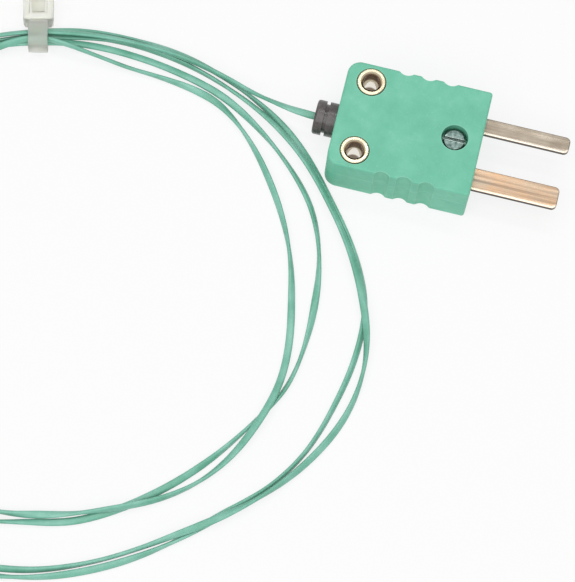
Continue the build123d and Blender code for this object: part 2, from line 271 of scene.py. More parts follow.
def edge_mask(finish, radius, low, high):
    """White along convex edges and corners: where a rounded normal leaves the flat one."""
    rounded = rounded_normal(finish, radius)
    flat = node(finish, "ShaderNodeNewGeometry").outputs["Normal"]
    agree = node(finish, "ShaderNodeVectorMath", {0: rounded, 1: flat}, operation="DOT_PRODUCT")
    return ramp(finish, agree.outputs["Value"], [(low, 1.0), (high, 0.0)])


# %% [markdown]
# ### Moulded green nylon
# The plug's two halves are glass-filled nylon. Up close it isn't one green: the filler leaves
# cloudy patches a few millimetres wide and a fine pale speckle, the mould's spark-eroded wall
# leaves a pebbled skin, and handled edges rub paler. Each of these is one noise or mask over the
# base colour. A painted image could hold them all, but noises at real scale stay sharp up close.

# %% Green nylon
deep_green, plain_green = (0.145, 0.520, 0.355), (0.168, 0.565, 0.392)
pale_green = (0.205, 0.615, 0.438)
speckle_green, worn_green = (0.30, 0.68, 0.52), (0.27, 0.66, 0.49)
cloud_scale, speckle_scale, sheen_scale, pebble_scale, sink_scale = 330, 3400, 900, 5200, 420
nylon, shader = new_finish("green_nylon", (0.165, 0.555, 0.375), 0.45)
clouds = ramp(nylon, noise(nylon, cloud_scale, 4.0, 0.6),
              [(0.30, deep_green), (0.52, plain_green), (0.72, pale_green)])
speckle = ramp(nylon, noise(nylon, speckle_scale, 2.0, 0.5), [(0.60, 0.0), (0.74, 0.35)])
greens = mixed(nylon, speckle, clouds, speckle_green)
worn = mixed(nylon, edge_mask(nylon, 0.22, 0.90, 0.995), greens, worn_green)
feed(nylon, shader, Base_Color=worn,
     Roughness=ramp(nylon, noise(nylon, sheen_scale, 3.0), [(0.3, 0.38), (0.7, 0.56)]))
pebbles = bump(nylon, shader, noise(nylon, pebble_scale, 2.0, 0.6), 0.012, 0.6)
bump(nylon, shader, noise(nylon, sink_scale, 2.0), 0.03, 0.4, pebbles)
shader.inputs["Specular IOR Level"].default_value = 0.42
print("green nylon:", len(nylon.node_tree.nodes), "nodes")

# %% [markdown]
# ### Pins
# The pins are the thermocouple's own alloys: nickel-chromium on the positive side, and the
# warmer nickel-aluminium on the negative. Both are rolled strip, stamped out. The rolling leaves
# fine lines along the pin. The sides are darkened as painted shade, so the finish looks at which
# way a face points, and one long edge gets a painted highlight, found by the rounded normal. The
# two alloys differ only in their colours, so one function makes both.


# %% Pin alloy
highlight_width = 0.6


def pin_alloy(name, face, face_light, dark_lines_and_side_shade, painted_highlight):
    """Rolled strip: lengthwise lines, cloudy tone, painted shade on the sides, a painted highlight
    on one long edge.
    """
    alloy, shader = new_finish(name, face, 0.3, 1.0)
    lines = noise(alloy, 900, 3.0, 0.6, stretch=(0.05, 3.2, 1.0))
    tone = noise(alloy, 420, 3.0, 0.55, stretch=(0.6, 1.0, 1.0))
    base = mixed(alloy, ramp(alloy, tone, [(0.35, 0.0), (0.70, 1.0)]), face, face_light)
    base = mixed(alloy, ramp(alloy, lines, [(0.45, 0.0), (0.75, 0.30)]), base, dark_lines_and_side_shade)
    # painted highlight along the long edge whose rounded normal leans towards -Y
    sideways = node(alloy, "ShaderNodeSeparateXYZ",
                    {0: rounded_normal(alloy, highlight_width)}).outputs["Y"]
    to_the_right = node(alloy, "ShaderNodeMath", {0: sideways, 1: -1.0}, operation="MULTIPLY")
    highlight_mask = ramp(alloy, to_the_right.outputs[0], [(0.06, 0.0), (0.28, 0.9)])
    base = mixed(alloy, highlight_mask, base, painted_highlight)
    # painted shade on the pin's sides, where the normal lies near level
    facing = node(alloy, "ShaderNodeSeparateXYZ",
                  {0: node(alloy, "ShaderNodeTexCoord").outputs["Normal"]}).outputs["Z"]
    upright = node(alloy, "ShaderNodeMath", {0: facing}, operation="ABSOLUTE").outputs[0]
    side_shade = ramp(alloy, upright, [(0.15, 1.0), (0.55, 0.0)])
    feed(alloy, shader, Base_Color=mixed(alloy, side_shade, base, dark_lines_and_side_shade),
         Roughness=ramp(alloy, lines, [(0.3, 0.26), (0.7, 0.42)]))
    bump(alloy, shader, lines, 0.006, 0.5)
    return alloy


chromium_alloy = pin_alloy("nickel_chromium", face=(0.215, 0.18, 0.14),
                           face_light=(0.31, 0.27, 0.22), dark_lines_and_side_shade=(0.070, 0.056, 0.046),
                           painted_highlight=(0.80, 0.71, 0.60))
aluminium_alloy = pin_alloy("nickel_aluminium", face=(0.40, 0.255, 0.155),
                            face_light=(0.33, 0.265, 0.20), dark_lines_and_side_shade=(0.055, 0.040, 0.036),
                            painted_highlight=(0.88, 0.75, 0.60))
print("pin alloys:", chromium_alloy.name, "and", aluminium_alloy.name)

# %% [markdown]
# ### Bare thermocouple wire
# The two wires at the measuring tip are drawn, so they are smoother than the pins. Welding the
# bead heats them, and heat leaves straw and brown colours on nickel alloys. A coarse noise picks
# where. They could share the pins' finish, but a round wire has no flat sides to paint shade on.

# %% Bare wire
bright_wire, straw, heat_brown = (0.62, 0.58, 0.51), (0.55, 0.45, 0.31), (0.33, 0.22, 0.15)
bare_wire, shader = new_finish("bare_wire", (0.55, 0.50, 0.43), 0.28, 1.0)
heat = noise(bare_wire, 1400, 3.0, 0.6)
feed(bare_wire, shader,
     Base_Color=ramp(bare_wire, heat, [(0.36, bright_wire), (0.52, straw), (0.70, heat_brown)]),
     Roughness=ramp(bare_wire, heat, [(0.3, 0.22), (0.7, 0.42)]))
bump(bare_wire, shader, noise(bare_wire, 6000, 2.0), 0.006, 0.5)
print("bare wire:", len(bare_wire.node_tree.nodes), "nodes")

# %% [markdown]
# ### Brass
# The clamp bushes are turned brass, and their lips keep the plain brass colour. The bore is
# painted brown in two bands: painted shade on the wall, with some tarnish where air and fingers
# reach it. Between them, where a clamp screw slides, the wall is smoother and painted near white:
# a painted reflection of the table below. The tone could be painted by hand; here the distance
# from the bush's axis picks out the bore and the height picks the band, so the finish fits both
# bushes. A noise squeezed along the axis leaves the tool's turning marks.

# %% Brass
bush_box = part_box("clamp_bush_left")
bush_axis = (bush_box[0] + bush_box[1]) / 2
bore_radius, bore_edge = 1.3 * MM, 1.5 * MM
body_top, body_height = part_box("plug_cover")[1].z, 8 * MM
brass_yellow, dull_yellow = (0.52, 0.46, 0.33), (0.38, 0.32, 0.21)
# the brown is painted shade with some tarnish; the near white is a painted reflection
bore_tarnish_and_shade, bore_painted_reflection, bore_gloss = (0.15, 0.083, 0.045), (1.0, 0.95, 0.86), (0.07, 0.07, 0.07)
brass, shader = new_finish("brass", brass_yellow, 0.22, 1.0)
patina = noise(brass, 700, 4.0, 0.6)
yellow = mixed(brass, ramp(brass, patina, [(0.35, 0.0), (0.75, 0.8)]), brass_yellow, dull_yellow)
place = node(brass, "ShaderNodeSeparateXYZ",
             {0: node(brass, "ShaderNodeTexCoord").outputs["Object"]}).outputs
# both bushes stand at the same distance from the middle, so one axis serves for the two
mirrored = node(brass, "ShaderNodeMath", {0: place["Y"]}, operation="ABSOLUTE").outputs[0]
across = node(brass, "ShaderNodeCombineXYZ", {0: place["X"], 1: mirrored}).outputs[0]
from_axis = node(brass, "ShaderNodeVectorMath",
                 {0: across, 1: (bush_axis.x, abs(bush_axis.y), 0)}, operation="DISTANCE")
in_bore = node(brass, "ShaderNodeMapRange", {0: from_axis.outputs["Value"], 1: bore_radius,
                                             2: bore_edge, 3: 1.0, 4: 0.0}).outputs[0]
bore_height = node(brass, "ShaderNodeMapRange",
                   {0: place["Z"], 1: body_top - body_height, 2: body_top}).outputs[0]


def only_in_bore(stops):
    """A mask inside the bore alone, by height: 0 is the table and 1 the plug's top."""
    return node(brass, "ShaderNodeMath", {0: ramp(brass, bore_height, stops), 1: in_bore},
                operation="MULTIPLY").outputs[0]


# painted shade, with some tarnish: two brown bands down the bore
tarnish_and_shade = only_in_bore([(0.20, 0.0), (0.26, 0.85), (0.38, 0.85), (0.44, 0.0), (0.73, 0.0),
                      (0.79, 0.95), (0.99, 0.90), (1.0, 0.0)])
# painted reflection: a near-white band down the bore, where the wall is also smoother
polish_and_reflection = only_in_bore([(0.40, 0.0), (0.46, 1.0), (0.73, 1.0), (0.79, 0.0)])
bright = mixed(brass, polish_and_reflection, yellow, bore_painted_reflection)
rough = ramp(brass, patina, [(0.3, 0.16), (0.8, 0.34)])
feed(brass, shader, Base_Color=mixed(brass, tarnish_and_shade, bright, bore_tarnish_and_shade),
     Roughness=mixed(brass, polish_and_reflection, rough, bore_gloss))
bump(brass, shader, noise(brass, 1500, 2.0, 0.5, stretch=(1, 1, 3)), 0.008, 0.5)
print("bush axis at", [round(x / MM, 2) for x in bush_axis], "mm")

# %% [markdown]
# ### Zinc-plated steel
# Small screws are barrel plated, which leaves a faint blue-grey zinc skin with darker spots
# where the plating is thin. The edges of the slot and head are rubbed back to bright metal. One
# grey would do from afar; the spots and bright edges are what make it plated steel up close.

# %% Steel
thin_zinc, zinc_grey, thick_zinc = (0.055, 0.085, 0.078), (0.125, 0.175, 0.16), (0.22, 0.29, 0.27)
bare_steel = (0.55, 0.60, 0.58)
steel, shader = new_finish("zinc_steel", (0.18, 0.25, 0.23), 0.34, 1.0)
spots = noise(steel, 1500, 4.0, 0.65)
zinc = ramp(steel, spots, [(0.32, thin_zinc), (0.5, zinc_grey), (0.72, thick_zinc)])
feed(steel, shader, Base_Color=mixed(steel, edge_mask(steel, 0.12, 0.88, 0.99), zinc, bare_steel),
     Roughness=ramp(steel, spots, [(0.3, 0.46), (0.7, 0.28)]))
bump(steel, shader, noise(steel, 2600, 2.0), 0.01, 0.5)
print("zinc-plated steel:", len(steel.node_tree.nodes), "nodes")

# %% [markdown]
# ### Rubber, sheath and cores
# Rubber picks up pale dust, so the grommet is a warm dark grey rather than black. The lead's
# sheath is a thin film over a green and a white core: three greens drift slowly along it, with a
# faint gloss. Ambient occlusion finds the narrow gaps where the turns lie together, and a darker
# colour is painted there as shade. The cores inside the plug are the same stuff in their own
# colours, so one helper makes all three films.

# %% Rubber
clean_rubber, grey_rubber = (0.046, 0.036, 0.035), (0.090, 0.075, 0.072)
dusty_rubber = (0.20, 0.185, 0.18)
rubber, shader = new_finish("black_rubber", (0.075, 0.066, 0.064), 0.42)
dust = noise(rubber, 1300, 4.0, 0.65)
feed(rubber, shader,
     Base_Color=ramp(rubber, dust, [(0.35, clean_rubber), (0.62, grey_rubber),
                                    (0.8, dusty_rubber)]),
     Roughness=ramp(rubber, dust, [(0.3, 0.20), (0.75, 0.38)]))
bump(rubber, shader, noise(rubber, 2400, 3.0), 0.02, 0.6)
shader.inputs["Specular IOR Level"].default_value = 0.65
print("rubber:", len(rubber.node_tree.nodes), "nodes")


# %% Insulation
shade_reach, shade_samples = 0.9, 6


def insulation(name, dark, middle, pale, scale=260, roughness=0.34):
    """Extruded insulation: tone drifting along it, painted shade in the gaps and a soft gloss."""
    film, shader = new_finish(name, middle, roughness)
    drift = noise(film, scale, 3.0, 0.55)
    tint = ramp(film, drift, [(0.30, dark), (0.5, middle), (0.70, pale)])
    open_air = node(film, "ShaderNodeAmbientOcclusion", {"Distance": shade_reach * MM},
                    samples=shade_samples).outputs["AO"]
    # painted shade: a darker colour where ambient occlusion finds gaps between turns and the table
    painted_shade = ramp(film, open_air, [(0.25, 0.55), (0.85, 0.0)])
    shade_colour = tuple(c * 0.45 + 0.02 for c in dark)
    feed(film, shader, Base_Color=mixed(film, painted_shade, tint, shade_colour),
         Roughness=ramp(film, noise(film, 1800, 2.0),
                        [(0.3, roughness - 0.08), (0.7, roughness + 0.14)]))
    bump(film, shader, noise(film, 3000, 2.0), 0.008, 0.45)
    shader.inputs["Coat Weight"].default_value = 0.12
    shader.inputs["Coat Roughness"].default_value = 0.25
    return film


sheath_film = insulation("green_sheath", (0.13, 0.41, 0.29), (0.185, 0.50, 0.375),
                         (0.26, 0.58, 0.46))
green_film = insulation("green_core", (0.05, 0.33, 0.16), (0.08, 0.42, 0.22), (0.12, 0.50, 0.29),
                        scale=900)
white_film = insulation("white_core", (0.66, 0.66, 0.62), (0.78, 0.78, 0.74), (0.86, 0.86, 0.83),
                        scale=900)
print("insulation:", [film.name for film in (sheath_film, green_film, white_film)])

# %% [markdown]
# ### Natural nylon
# A cable tie is unfilled nylon, milky rather than clear. Light enters, scatters and comes out
# again, so the shader mixes transmission with subsurface scattering and leaves the surface
# satin. Clear glass would look hard and wet here, and plain white plastic dead.

# %% Natural nylon
yellow_milk, milk_white, clear_white = (0.96, 0.965, 0.84), (0.98, 0.98, 0.89), (0.99, 0.99, 0.93)
tie_nylon, shader = new_finish("clear_nylon", (0.93, 0.935, 0.84), 0.34)
milk = noise(tie_nylon, 700, 3.0)
feed(tie_nylon, shader,
     Base_Color=ramp(tie_nylon, milk, [(0.3, yellow_milk), (0.5, milk_white), (0.7, clear_white)]))
bump(tie_nylon, shader, noise(tie_nylon, 900, 2.0), 0.012, 0.3)
shader.inputs["Transmission Weight"].default_value = 0.80
shader.inputs["Subsurface Weight"].default_value = 0.9
shader.inputs["Subsurface Radius"].default_value = (1.0, 1.0, 0.85)
shader.inputs["Subsurface Scale"].default_value = 0.8 * MM
shader.inputs["IOR"].default_value = 1.53
print("natural nylon:", len(tie_nylon.node_tree.nodes), "nodes")


# %% [markdown]
# ## Finishes on the CAD pieces
# Each CAD node keeps its shape and gets its finish by name. A dictionary keeps the list
# readable: the finish is the key, and the nodes that share it are the value.

# %% Dress the CAD nodes
def dress(obj, finish):
    """Gives the whole piece one finish."""
    obj.data.materials.clear()
    obj.data.materials.append(finish)


dressed = {
    nylon: ("plug_base", "plug_cover"),
    chromium_alloy: ("positive_blade",),
    aluminium_alloy: ("negative_blade",),
    bare_wire: ("positive_conductor", "negative_conductor"),
    brass: ("clamp_bush_left", "clamp_bush_right", "cover_insert", "positive_terminal_nut",
            "negative_terminal_nut"),
    steel: ("cover_screw", "positive_terminal_screw", "negative_terminal_screw",
            "positive_clamp_washer", "negative_clamp_washer"),
    rubber: ("cable_grommet",),
    sheath_film: ("inner_sheath",),
    green_film: ("positive_core",),
    white_film: ("negative_core",),
}
for finish, names in dressed.items():
    for name in names:
        dress(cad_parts[name], finish)
print(sum(len(names) for names in dressed.values()), "CAD nodes dressed")

# %% [markdown]
# ## Route of the lead
# The lead leaves the grommet, drops onto the bundle and goes round four times: an outer pair of
# turns and an inner pair, all closing up where the tie holds them. Wound by hand, no turn is a
# true circle. On the plug's side each turn is given by its radius every ten degrees, which lets
# the two turns of a pair part and cross as a stiff lead does. The far side is plainer: a mean
# radius and a few slow waves. The tail from the grommet is pulled in by a power curve until it
# joins them at the tie. A long curve could be drawn by hand instead, but tables of radii are
# easier to correct, one turn at a time. All of it is in the coil's own frame, with the tie at 90
# degrees.

# %% Sizes of the lead and the coil, in millimetres
lead_width, lead_thickness = 1.05, 0.62
exit_point = (-17.45, 0.0, 4.0)
coil_centre = (-48.1, -34.4)
coil_turned = 14.2
outer_radius = 40.6
outer_waves = ((0.8, 1, 80), (2.7, 2, 0), (0.4, 4, -17))          # (amount, lobes, peak)
outer_weave = ((0.4, 2, -16), (0.3, 3, -36), (0.1, 4, -20))
inner_radius = 35.1
inner_waves = ((3.7, 1, 87), (0.9, 2, 8), (0.4, 3, -41))
inner_weave = ((-0.3, 0, 0), (-0.6, 1, 3), (0.5, 2, -46), (0.8, 3, -45), (0.2, 4, -44))
outer_parting = (0.6, 130, 35)                                    # (amount, angle, spread)
inner_parting = (-0.6, 115, 30)
near_side = (                                 # radius every 10 degrees, from 270 to 450
    (38.0, 37.85, 37.9, 38.2, 38.75, 40.6, 42.0, 42.8, 43.95, 44.75, 44.0, 43.05, 42.8, 42.5, 42.0,
     41.6, 41.0, 40.2, 39.6),
    (37.0, 36.85, 36.95, 37.6, 39.15, 41.25, 43.2, 44.9, 45.35, 44.35, 43.3, 42.4, 42.1, 41.6, 41.0,
     40.6, 40.1, 39.3, 38.65),
    (30.5, 30.9, 30.95, 31.15, 31.7, 32.6, 33.9, 35.9, 36.9, 37.9, 39.2, 40.05, 39.9, 39.7, 39.6,
     39.0, 38.6, 38.2, 37.7),
    (29.6, 30.0, 30.8, 32.1, 33.3, 34.1, 34.5, 34.9, 34.8, 34.7, 35.2, 35.8, 36.6, 37.7, 38.4,
     37.4, 36.6, 36.95, 38.15))
near_start, near_step, near_blend = 270, 10, 25
tie_radius = 38.5
gather_spread = 18
tie_offsets = (0.6, 1.1, 0.15, -0.8, -0.35)   # the tail's pass, then each turn's end
tail_angle, tail_reach, tail_power = 45, 3.3, 1.5   # where it nears the coil, how far out, how fast
strap_lift, strap_spread = 0.65, 9                  # the strap raises the bundle over these degrees


# %% Shape of each turn
def coil_place(angle, radius, height):
    """A point given round the coil, as x, y and z in millimetres."""
    turned = radians(angle + coil_turned)
    return (coil_centre[0] + radius * cos(turned), coil_centre[1] + radius * sin(turned), height)


def wave_sum(angle, waves):
    """The sum of slow waves round the coil, each an amount, its lobes and where it peaks."""
    return sum(amount * cos(radians(lobes * (angle - peak))) for amount, lobes, peak in waves)


def hill(angle, centre, spread):
    """1 at the centre angle, falling to 0 a few spreads away."""
    away = (angle - centre + 180) % 360 - 180
    return exp(-(away / spread) ** 2)


def far_radius(turn, angle):
    """A turn's radius on the far side, where the tie pulls the start to its own place."""
    middle, waves, weave, (amount, at, spread) = (
        (outer_radius, outer_waves, outer_weave, outer_parting) if turn < 2 else
        (inner_radius, inner_waves, inner_weave, inner_parting))
    side = -1 if turn in (0, 2) else 1
    apart = wave_sum(angle, weave) + amount * hill(angle, at, spread)
    pull = hill(angle, 90, gather_spread)
    return ((middle + wave_sum(angle, waves) + side * apart) * (1 - pull)
            + (tie_radius + tie_offsets[turn]) * pull)


def near_radius(turn, angle):
    """A smooth curve through the turn's own row of radii."""
    row = near_side[turn]
    place = max(0, (angle - near_start) / near_step)
    number = min(int(place), len(row) - 2)
    t = place - number
    before, a, b, after = (row[min(max(number + k, 0), len(row) - 1)] for k in (-1, 0, 1, 2))
    return a + 0.5 * t * (b - before + t * (2 * before - 5 * a + 4 * b - after
                                            + t * (3 * (a - b) + after - before)))


def turn_radius(turn, angle):
    """Angles run from 90 to 450; the far side flows into the near side over the blend."""
    share = min(max((angle - near_start + near_blend) / near_blend, 0), 1)
    share = share * share * (3 - 2 * share)
    return far_radius(turn, angle) * (1 - share) + near_radius(turn, angle) * share


def tail_radius(angle):
    """The tail's distance from the coil's centre, from its first angle up to the tie at 90."""
    share = (90 - angle) / (90 - tail_angle)
    return tie_radius + tie_offsets[0] + tail_reach * share ** tail_power


print("turn radii at 0 degrees:", [round(turn_radius(t, 360), 1) for t in range(4)])

# %% [markdown]
# ## How the turns lie on each other
# A lead that crosses another has to climb over it. For every angle the turns are taken in the
# order in which they were laid, and each is raised just enough to clear those below. The raised
# stretches are then widened and averaged, so that a crossing becomes a long low hump and not a
# step. The lead is flat and slowly rolls over along its length, so how high it lies and how wide
# it is changes too.

# %% Roll and heights
step_angle = 5
steps_per_turn = 360 // step_angle
steps = range(90, 451, step_angle)
tail_steps = range(tail_angle + step_angle, 90, step_angle)
clearance = 0.03
slow_rolls = ((1.7, 2.6, 0.5), (0.9, 5.3, 2.0))     # (amount, rate, phase)
turns_cross_at = 135                                # past the tie the first turn is down again


def roll_at(steps_done):
    """Turn of the flat section about its own line, in radians, after so many steps of the coil."""
    winding = radians(steps_done * step_angle)
    return sum(amount * sin(rate * winding + phase) for amount, rate, phase in slow_rolls)


def half_sizes(steps_done):
    """Half the width and half the height of the rolled section."""
    roll, spare = roll_at(steps_done), (lead_width - lead_thickness) / 2
    return (lead_thickness / 2 + spare * abs(cos(roll)) + clearance / 2,
            lead_thickness / 2 + spare * abs(sin(roll)) + clearance / 2)


def laid_order(angle):
    """From the lowest to the highest: the first turn starts on top, where the tail came in."""
    return (1, 2, 3, 0) if angle < turns_cross_at else (0, 1, 2, 3)


def clear_height(radius, sizes, ground, below):
    """The lowest height that clears the turns below, each a radius, half sizes and a height."""
    lowest = ground + sizes[1]
    for other_radius, other_sizes, other_height in below:
        reach = sizes[0] + other_sizes[0]
        apart = abs(radius - other_radius) / reach
        if apart < 1:
            lowest = max(lowest, other_height + (sizes[1] + other_sizes[1]) * sqrt(1 - apart ** 2))
    return lowest


def stacked_heights():
    """Heights of the tail over its own steps, and of the four turns at each step."""
    turns, tail = [{} for _ in range(4)], {}
    for angle in steps:
        ground = strap_lift * hill(angle, 90, strap_spread)
        below = []
        for turn in laid_order(angle):
            radius = turn_radius(turn, angle)
            steps_done = len(tail_steps) + turn * steps_per_turn + (angle - 90) / step_angle
            sizes = half_sizes(steps_done)
            turns[turn][angle] = clear_height(radius, sizes, ground, below)
            below.append((radius, sizes, turns[turn][angle]))
        if angle - 360 in tail_steps:
            sizes = half_sizes(tail_steps.index(angle - 360))
            tail[angle - 360] = clear_height(tail_radius(angle - 360), sizes, ground, below)
    return tail, turns


def neighbours(values):
    """For each value, the short list of it and those beside it."""
    return [values[max(0, i - 1):i + 2] for i in range(len(values))]


def long_humps(heights):
    """Widens and averages the raised stretches of one run of heights."""
    wide = [max(near) for near in neighbours(heights)]
    return [sum(near) / len(near) for near in neighbours(wide)]


tail_heights, turn_heights = stacked_heights()
print("highest of each turn:", [round(max(h.values()), 2) for h in turn_heights])
print("at the tie:", [round(h[a], 2) for h in turn_heights for a in (90, 450)])


# %% Route's points
def coil_route():
    """(angle, radius) of every point on the bundle, and its smoothed height."""
    places = [(a, tail_radius(a)) for a in tail_steps]
    heights = [tail_heights[a] for a in tail_steps]
    for number in range(4):
        own_steps = list(steps)[:-1] if number < 3 else list(steps)
        places += [(a, turn_radius(number, a)) for a in own_steps]
        heights += [turn_heights[number][a] for a in own_steps]
    return places, long_humps(heights)


places, heights = coil_route()
straight_out, drooping = (exit_point[0] - 2.6, 0.1, 4.0), (exit_point[0] - 5.6, 0.85, 3.3)
tail_points = [exit_point, straight_out, drooping,
               coil_place(tail_angle, tail_radius(tail_angle), 2.0)]
sheath_tip = (119, 32.8, 0.53)                      # (angle, radius, height) where the sheath ends
end_route = ((95, 37.9, 2.0), (101, 37.1, 1.5), (107, 35.7, 0.8), (113, 34.3, 0.55), sheath_tip)
end_points = [coil_place(*place) for place in end_route]
route = tail_points + [coil_place(a, r, h) for (a, r), h in zip(places, heights)] + end_points
print(len(route), "points on the route")

# %% [markdown]
# ## The lead
# The real lead is two insulated cores side by side under a thin green sheath, so its section is
# an oval with a shallow groove on each flat side. It could be a stack of rings joined by hand,
# but a curve already knows how to carry a section along a line. The route becomes one NURBS
# curve, each point's tilt rolls the section, and the bevelled curve is turned into a mesh at
# once.


# %% Curve helpers
def nurbs_line(name, points, tilts=None, resolution=6):
    """One open NURBS curve through the air near the given points, in millimetres."""
    curve = bpy.data.curves.new(name, "CURVE")
    curve.dimensions = "3D"
    curve.twist_mode = "Z_UP"
    curve.resolution_u = resolution
    spline = curve.splines.new("NURBS")
    spline.points.add(len(points) - 1)
    for number, point in enumerate(points):
        spline.points[number].co = (*(x * MM for x in point), 1)
        spline.points[number].tilt = tilts[number] if tilts else 0
    spline.order_u = 3
    spline.use_endpoint_u = True
    obj = bpy.data.objects.new(name, curve)
    scene.collection.objects.link(obj)
    return obj


def read_points(curve_object):
    """The points of the curve's own line."""
    mesh = bpy.data.meshes.new_from_object(curve_object)
    points = [v.co.copy() for v in mesh.vertices]
    bpy.data.meshes.remove(mesh)
    return points


waist_spread = 0.35


def oval_section(width, thickness, waist, count=16):
    """An oval with its flat sides drawn in by the waist, a share of the thickness."""
    curve = bpy.data.curves.new("section", "CURVE")
    spline = curve.splines.new("POLY")
    spline.points.add(count - 1)
    for number in range(count):
        angle = 2 * pi * number / count
        pinch = 1 - waist * exp(-(cos(angle) / waist_spread) ** 2)
        spline.points[number].co = (width / 2 * cos(angle) * MM,
                                    thickness / 2 * sin(angle) * pinch * MM, 0, 1)
    spline.use_cyclic_u = True
    obj = bpy.data.objects.new("section", curve)
    scene.collection.objects.link(obj)
    return obj


def swept_mesh(name, curve_object, section):
    """A new mesh object: the section carried along the curve, with closed ends."""
    curve_object.data.bevel_mode = "OBJECT"
    curve_object.data.bevel_object = section
    curve_object.data.use_fill_caps = True
    bpy.context.view_layer.update()
    depsgraph = bpy.context.evaluated_depsgraph_get()
    mesh = bpy.data.meshes.new_from_object(curve_object.evaluated_get(depsgraph))
    mesh.name = name
    mesh.polygons.foreach_set("use_smooth", [True] * len(mesh.polygons))
    obj = bpy.data.objects.new(name, mesh)
    scene.collection.objects.link(obj)
    bpy.data.objects.remove(section)
    bpy.data.objects.remove(curve_object)
    return obj


# %% Lead
sheath_waist = 0.16
tilts = [roll_at(number - len(tail_points)) for number in range(len(route))]
lead_line = nurbs_line("lead_line", route, tilts)
lead_path = read_points(lead_line)
lead = swept_mesh("lead", lead_line, oval_section(lead_width, lead_thickness, sheath_waist))
dress(lead, sheath_film)


# %% [markdown]
# ## Cable tie
# The tie is a toothed strap that goes under and over the bundle, a square head that grips it,
# and the cut-off tail. The strap is a rounded rectangle of edges drawn across its width and then
# thickened; the head is a bevelled block with a pocket pressed in where the pawl sits. A box
# with a hole cut through it would give the same loop with worse corners. All of it is made in a
# frame of its own, X along the bundle and Y outwards, and moved onto the coil at the end.

# %% Tie sizes, in millimetres
strap_width, strap_thickness, strap_wall = 2.7, 0.9, 0.6
strap_round, rim_round = 0.55, 0.16
inner_gap, outer_gap = 1.4, 1.625         # from the tie's radius to the strap's inside faces
strap_top = 3.0
head_width, head_length, head_height, head_round = 4.2, 4.6, 3.3, 0.45
table_gap = 0.02
pocket_rim, pocket_wall, pocket_depth = 0.55, 0.12, 0.45
tail_length, tail_narrower, tail_thinner, tail_overlap = 2.0, 0.1, 0.25, 0.6
pawl_margin, pawl_start, pawl_end, pawl_bottom, pawl_top = 0.35, 1.2, 3.1, 0.75, 0.22
tooth_count, tooth_pitch, tooth_length, tooth_start, tooth_margin = 4, 0.4, 0.2, 0.25, 0.4
tooth_root, tooth_rise = 0.05, 0.1
coil_frame = (Matrix.Translation(Vector((*coil_centre, 0)) * MM)
              @ Matrix.Rotation(radians(coil_turned), 4, "Z") @ Matrix.Scale(MM, 4))


# %% Mesh helpers
def solid_piece(name, bm, finish, place, smooth_angle=35):
    """A finished object from a bmesh in millimetres, its place in its mesh."""
    bmesh.ops.transform(bm, matrix=place, verts=bm.verts)
    bmesh.ops.recalc_face_normals(bm, faces=bm.faces)
    mesh = bpy.data.meshes.new(name)
    bm.to_mesh(mesh)
    bm.free()
    mesh.set_sharp_from_angle(angle=radians(smooth_angle))
    mesh.polygons.foreach_set("use_smooth", [True] * len(mesh.polygons))
    obj = bpy.data.objects.new(name, mesh)
    scene.collection.objects.link(obj)
    dress(obj, finish)
    return obj


def block(bm, x0, x1, y0, y1, z0, z1):
    """A box between two corners; returns its vertices."""
    made = bmesh.ops.create_cube(bm, size=1)["verts"]
    bmesh.ops.scale(bm, verts=made, vec=(x1 - x0, y1 - y0, z1 - z0))
    bmesh.ops.translate(bm, verts=made, vec=((x0 + x1) / 2, (y0 + y1) / 2, (z0 + z1) / 2))
    return made


def soften(bm, verts, offset, segments):
    """Rounds the edges between these vertices."""
    chosen = set(verts)
    edges = [e for e in bm.edges if e.verts[0] in chosen and e.verts[1] in chosen]
    bmesh.ops.bevel(bm, geom=edges, offset=offset, segments=segments, profile=0.5,
                    affect="EDGES", material=-1)


# %% Strap
def strap_mesh():
    """A rounded loop of edges round the bundle, drawn across and thickened outwards."""
    bm = bmesh.new()
    w = strap_width / 2
    y0, y1 = tie_radius - inner_gap, tie_radius + outer_gap
    corners = [bm.verts.new((-w, y, z)) for y, z in
               ((y0, strap_wall), (y1, strap_wall), (y1, strap_top), (y0, strap_top))]
    for first, second in zip(corners, corners[1:] + corners[:1]):
        bm.edges.new((first, second))
    bmesh.ops.bevel(bm, geom=corners + bm.edges[:], offset=strap_round, segments=6, profile=0.5,
                    affect="VERTICES", material=-1)
    wall = bmesh.ops.extrude_edge_only(bm, edges=bm.edges[:])["geom"]
    bmesh.ops.translate(bm, vec=(strap_width, 0, 0),
                        verts=[v for v in wall if isinstance(v, bmesh.types.BMVert)])
    bmesh.ops.recalc_face_normals(bm, faces=bm.faces)
    middle = Vector((0, tie_radius, (strap_top + strap_thickness) / 2))
    face = bm.faces[0]
    if face.normal.dot(face.calc_center_median() - middle) < 0:
        bmesh.ops.reverse_faces(bm, faces=bm.faces)
    bmesh.ops.solidify(bm, geom=bm.faces[:], thickness=-strap_wall)
    sharp = 1.2
    rims = [e for e in bm.edges if e.is_manifold and e.calc_face_angle(0) > sharp]
    bmesh.ops.bevel(bm, geom=rims, offset=rim_round, segments=3, profile=0.5, affect="EDGES",
                    material=-1)
    return bm


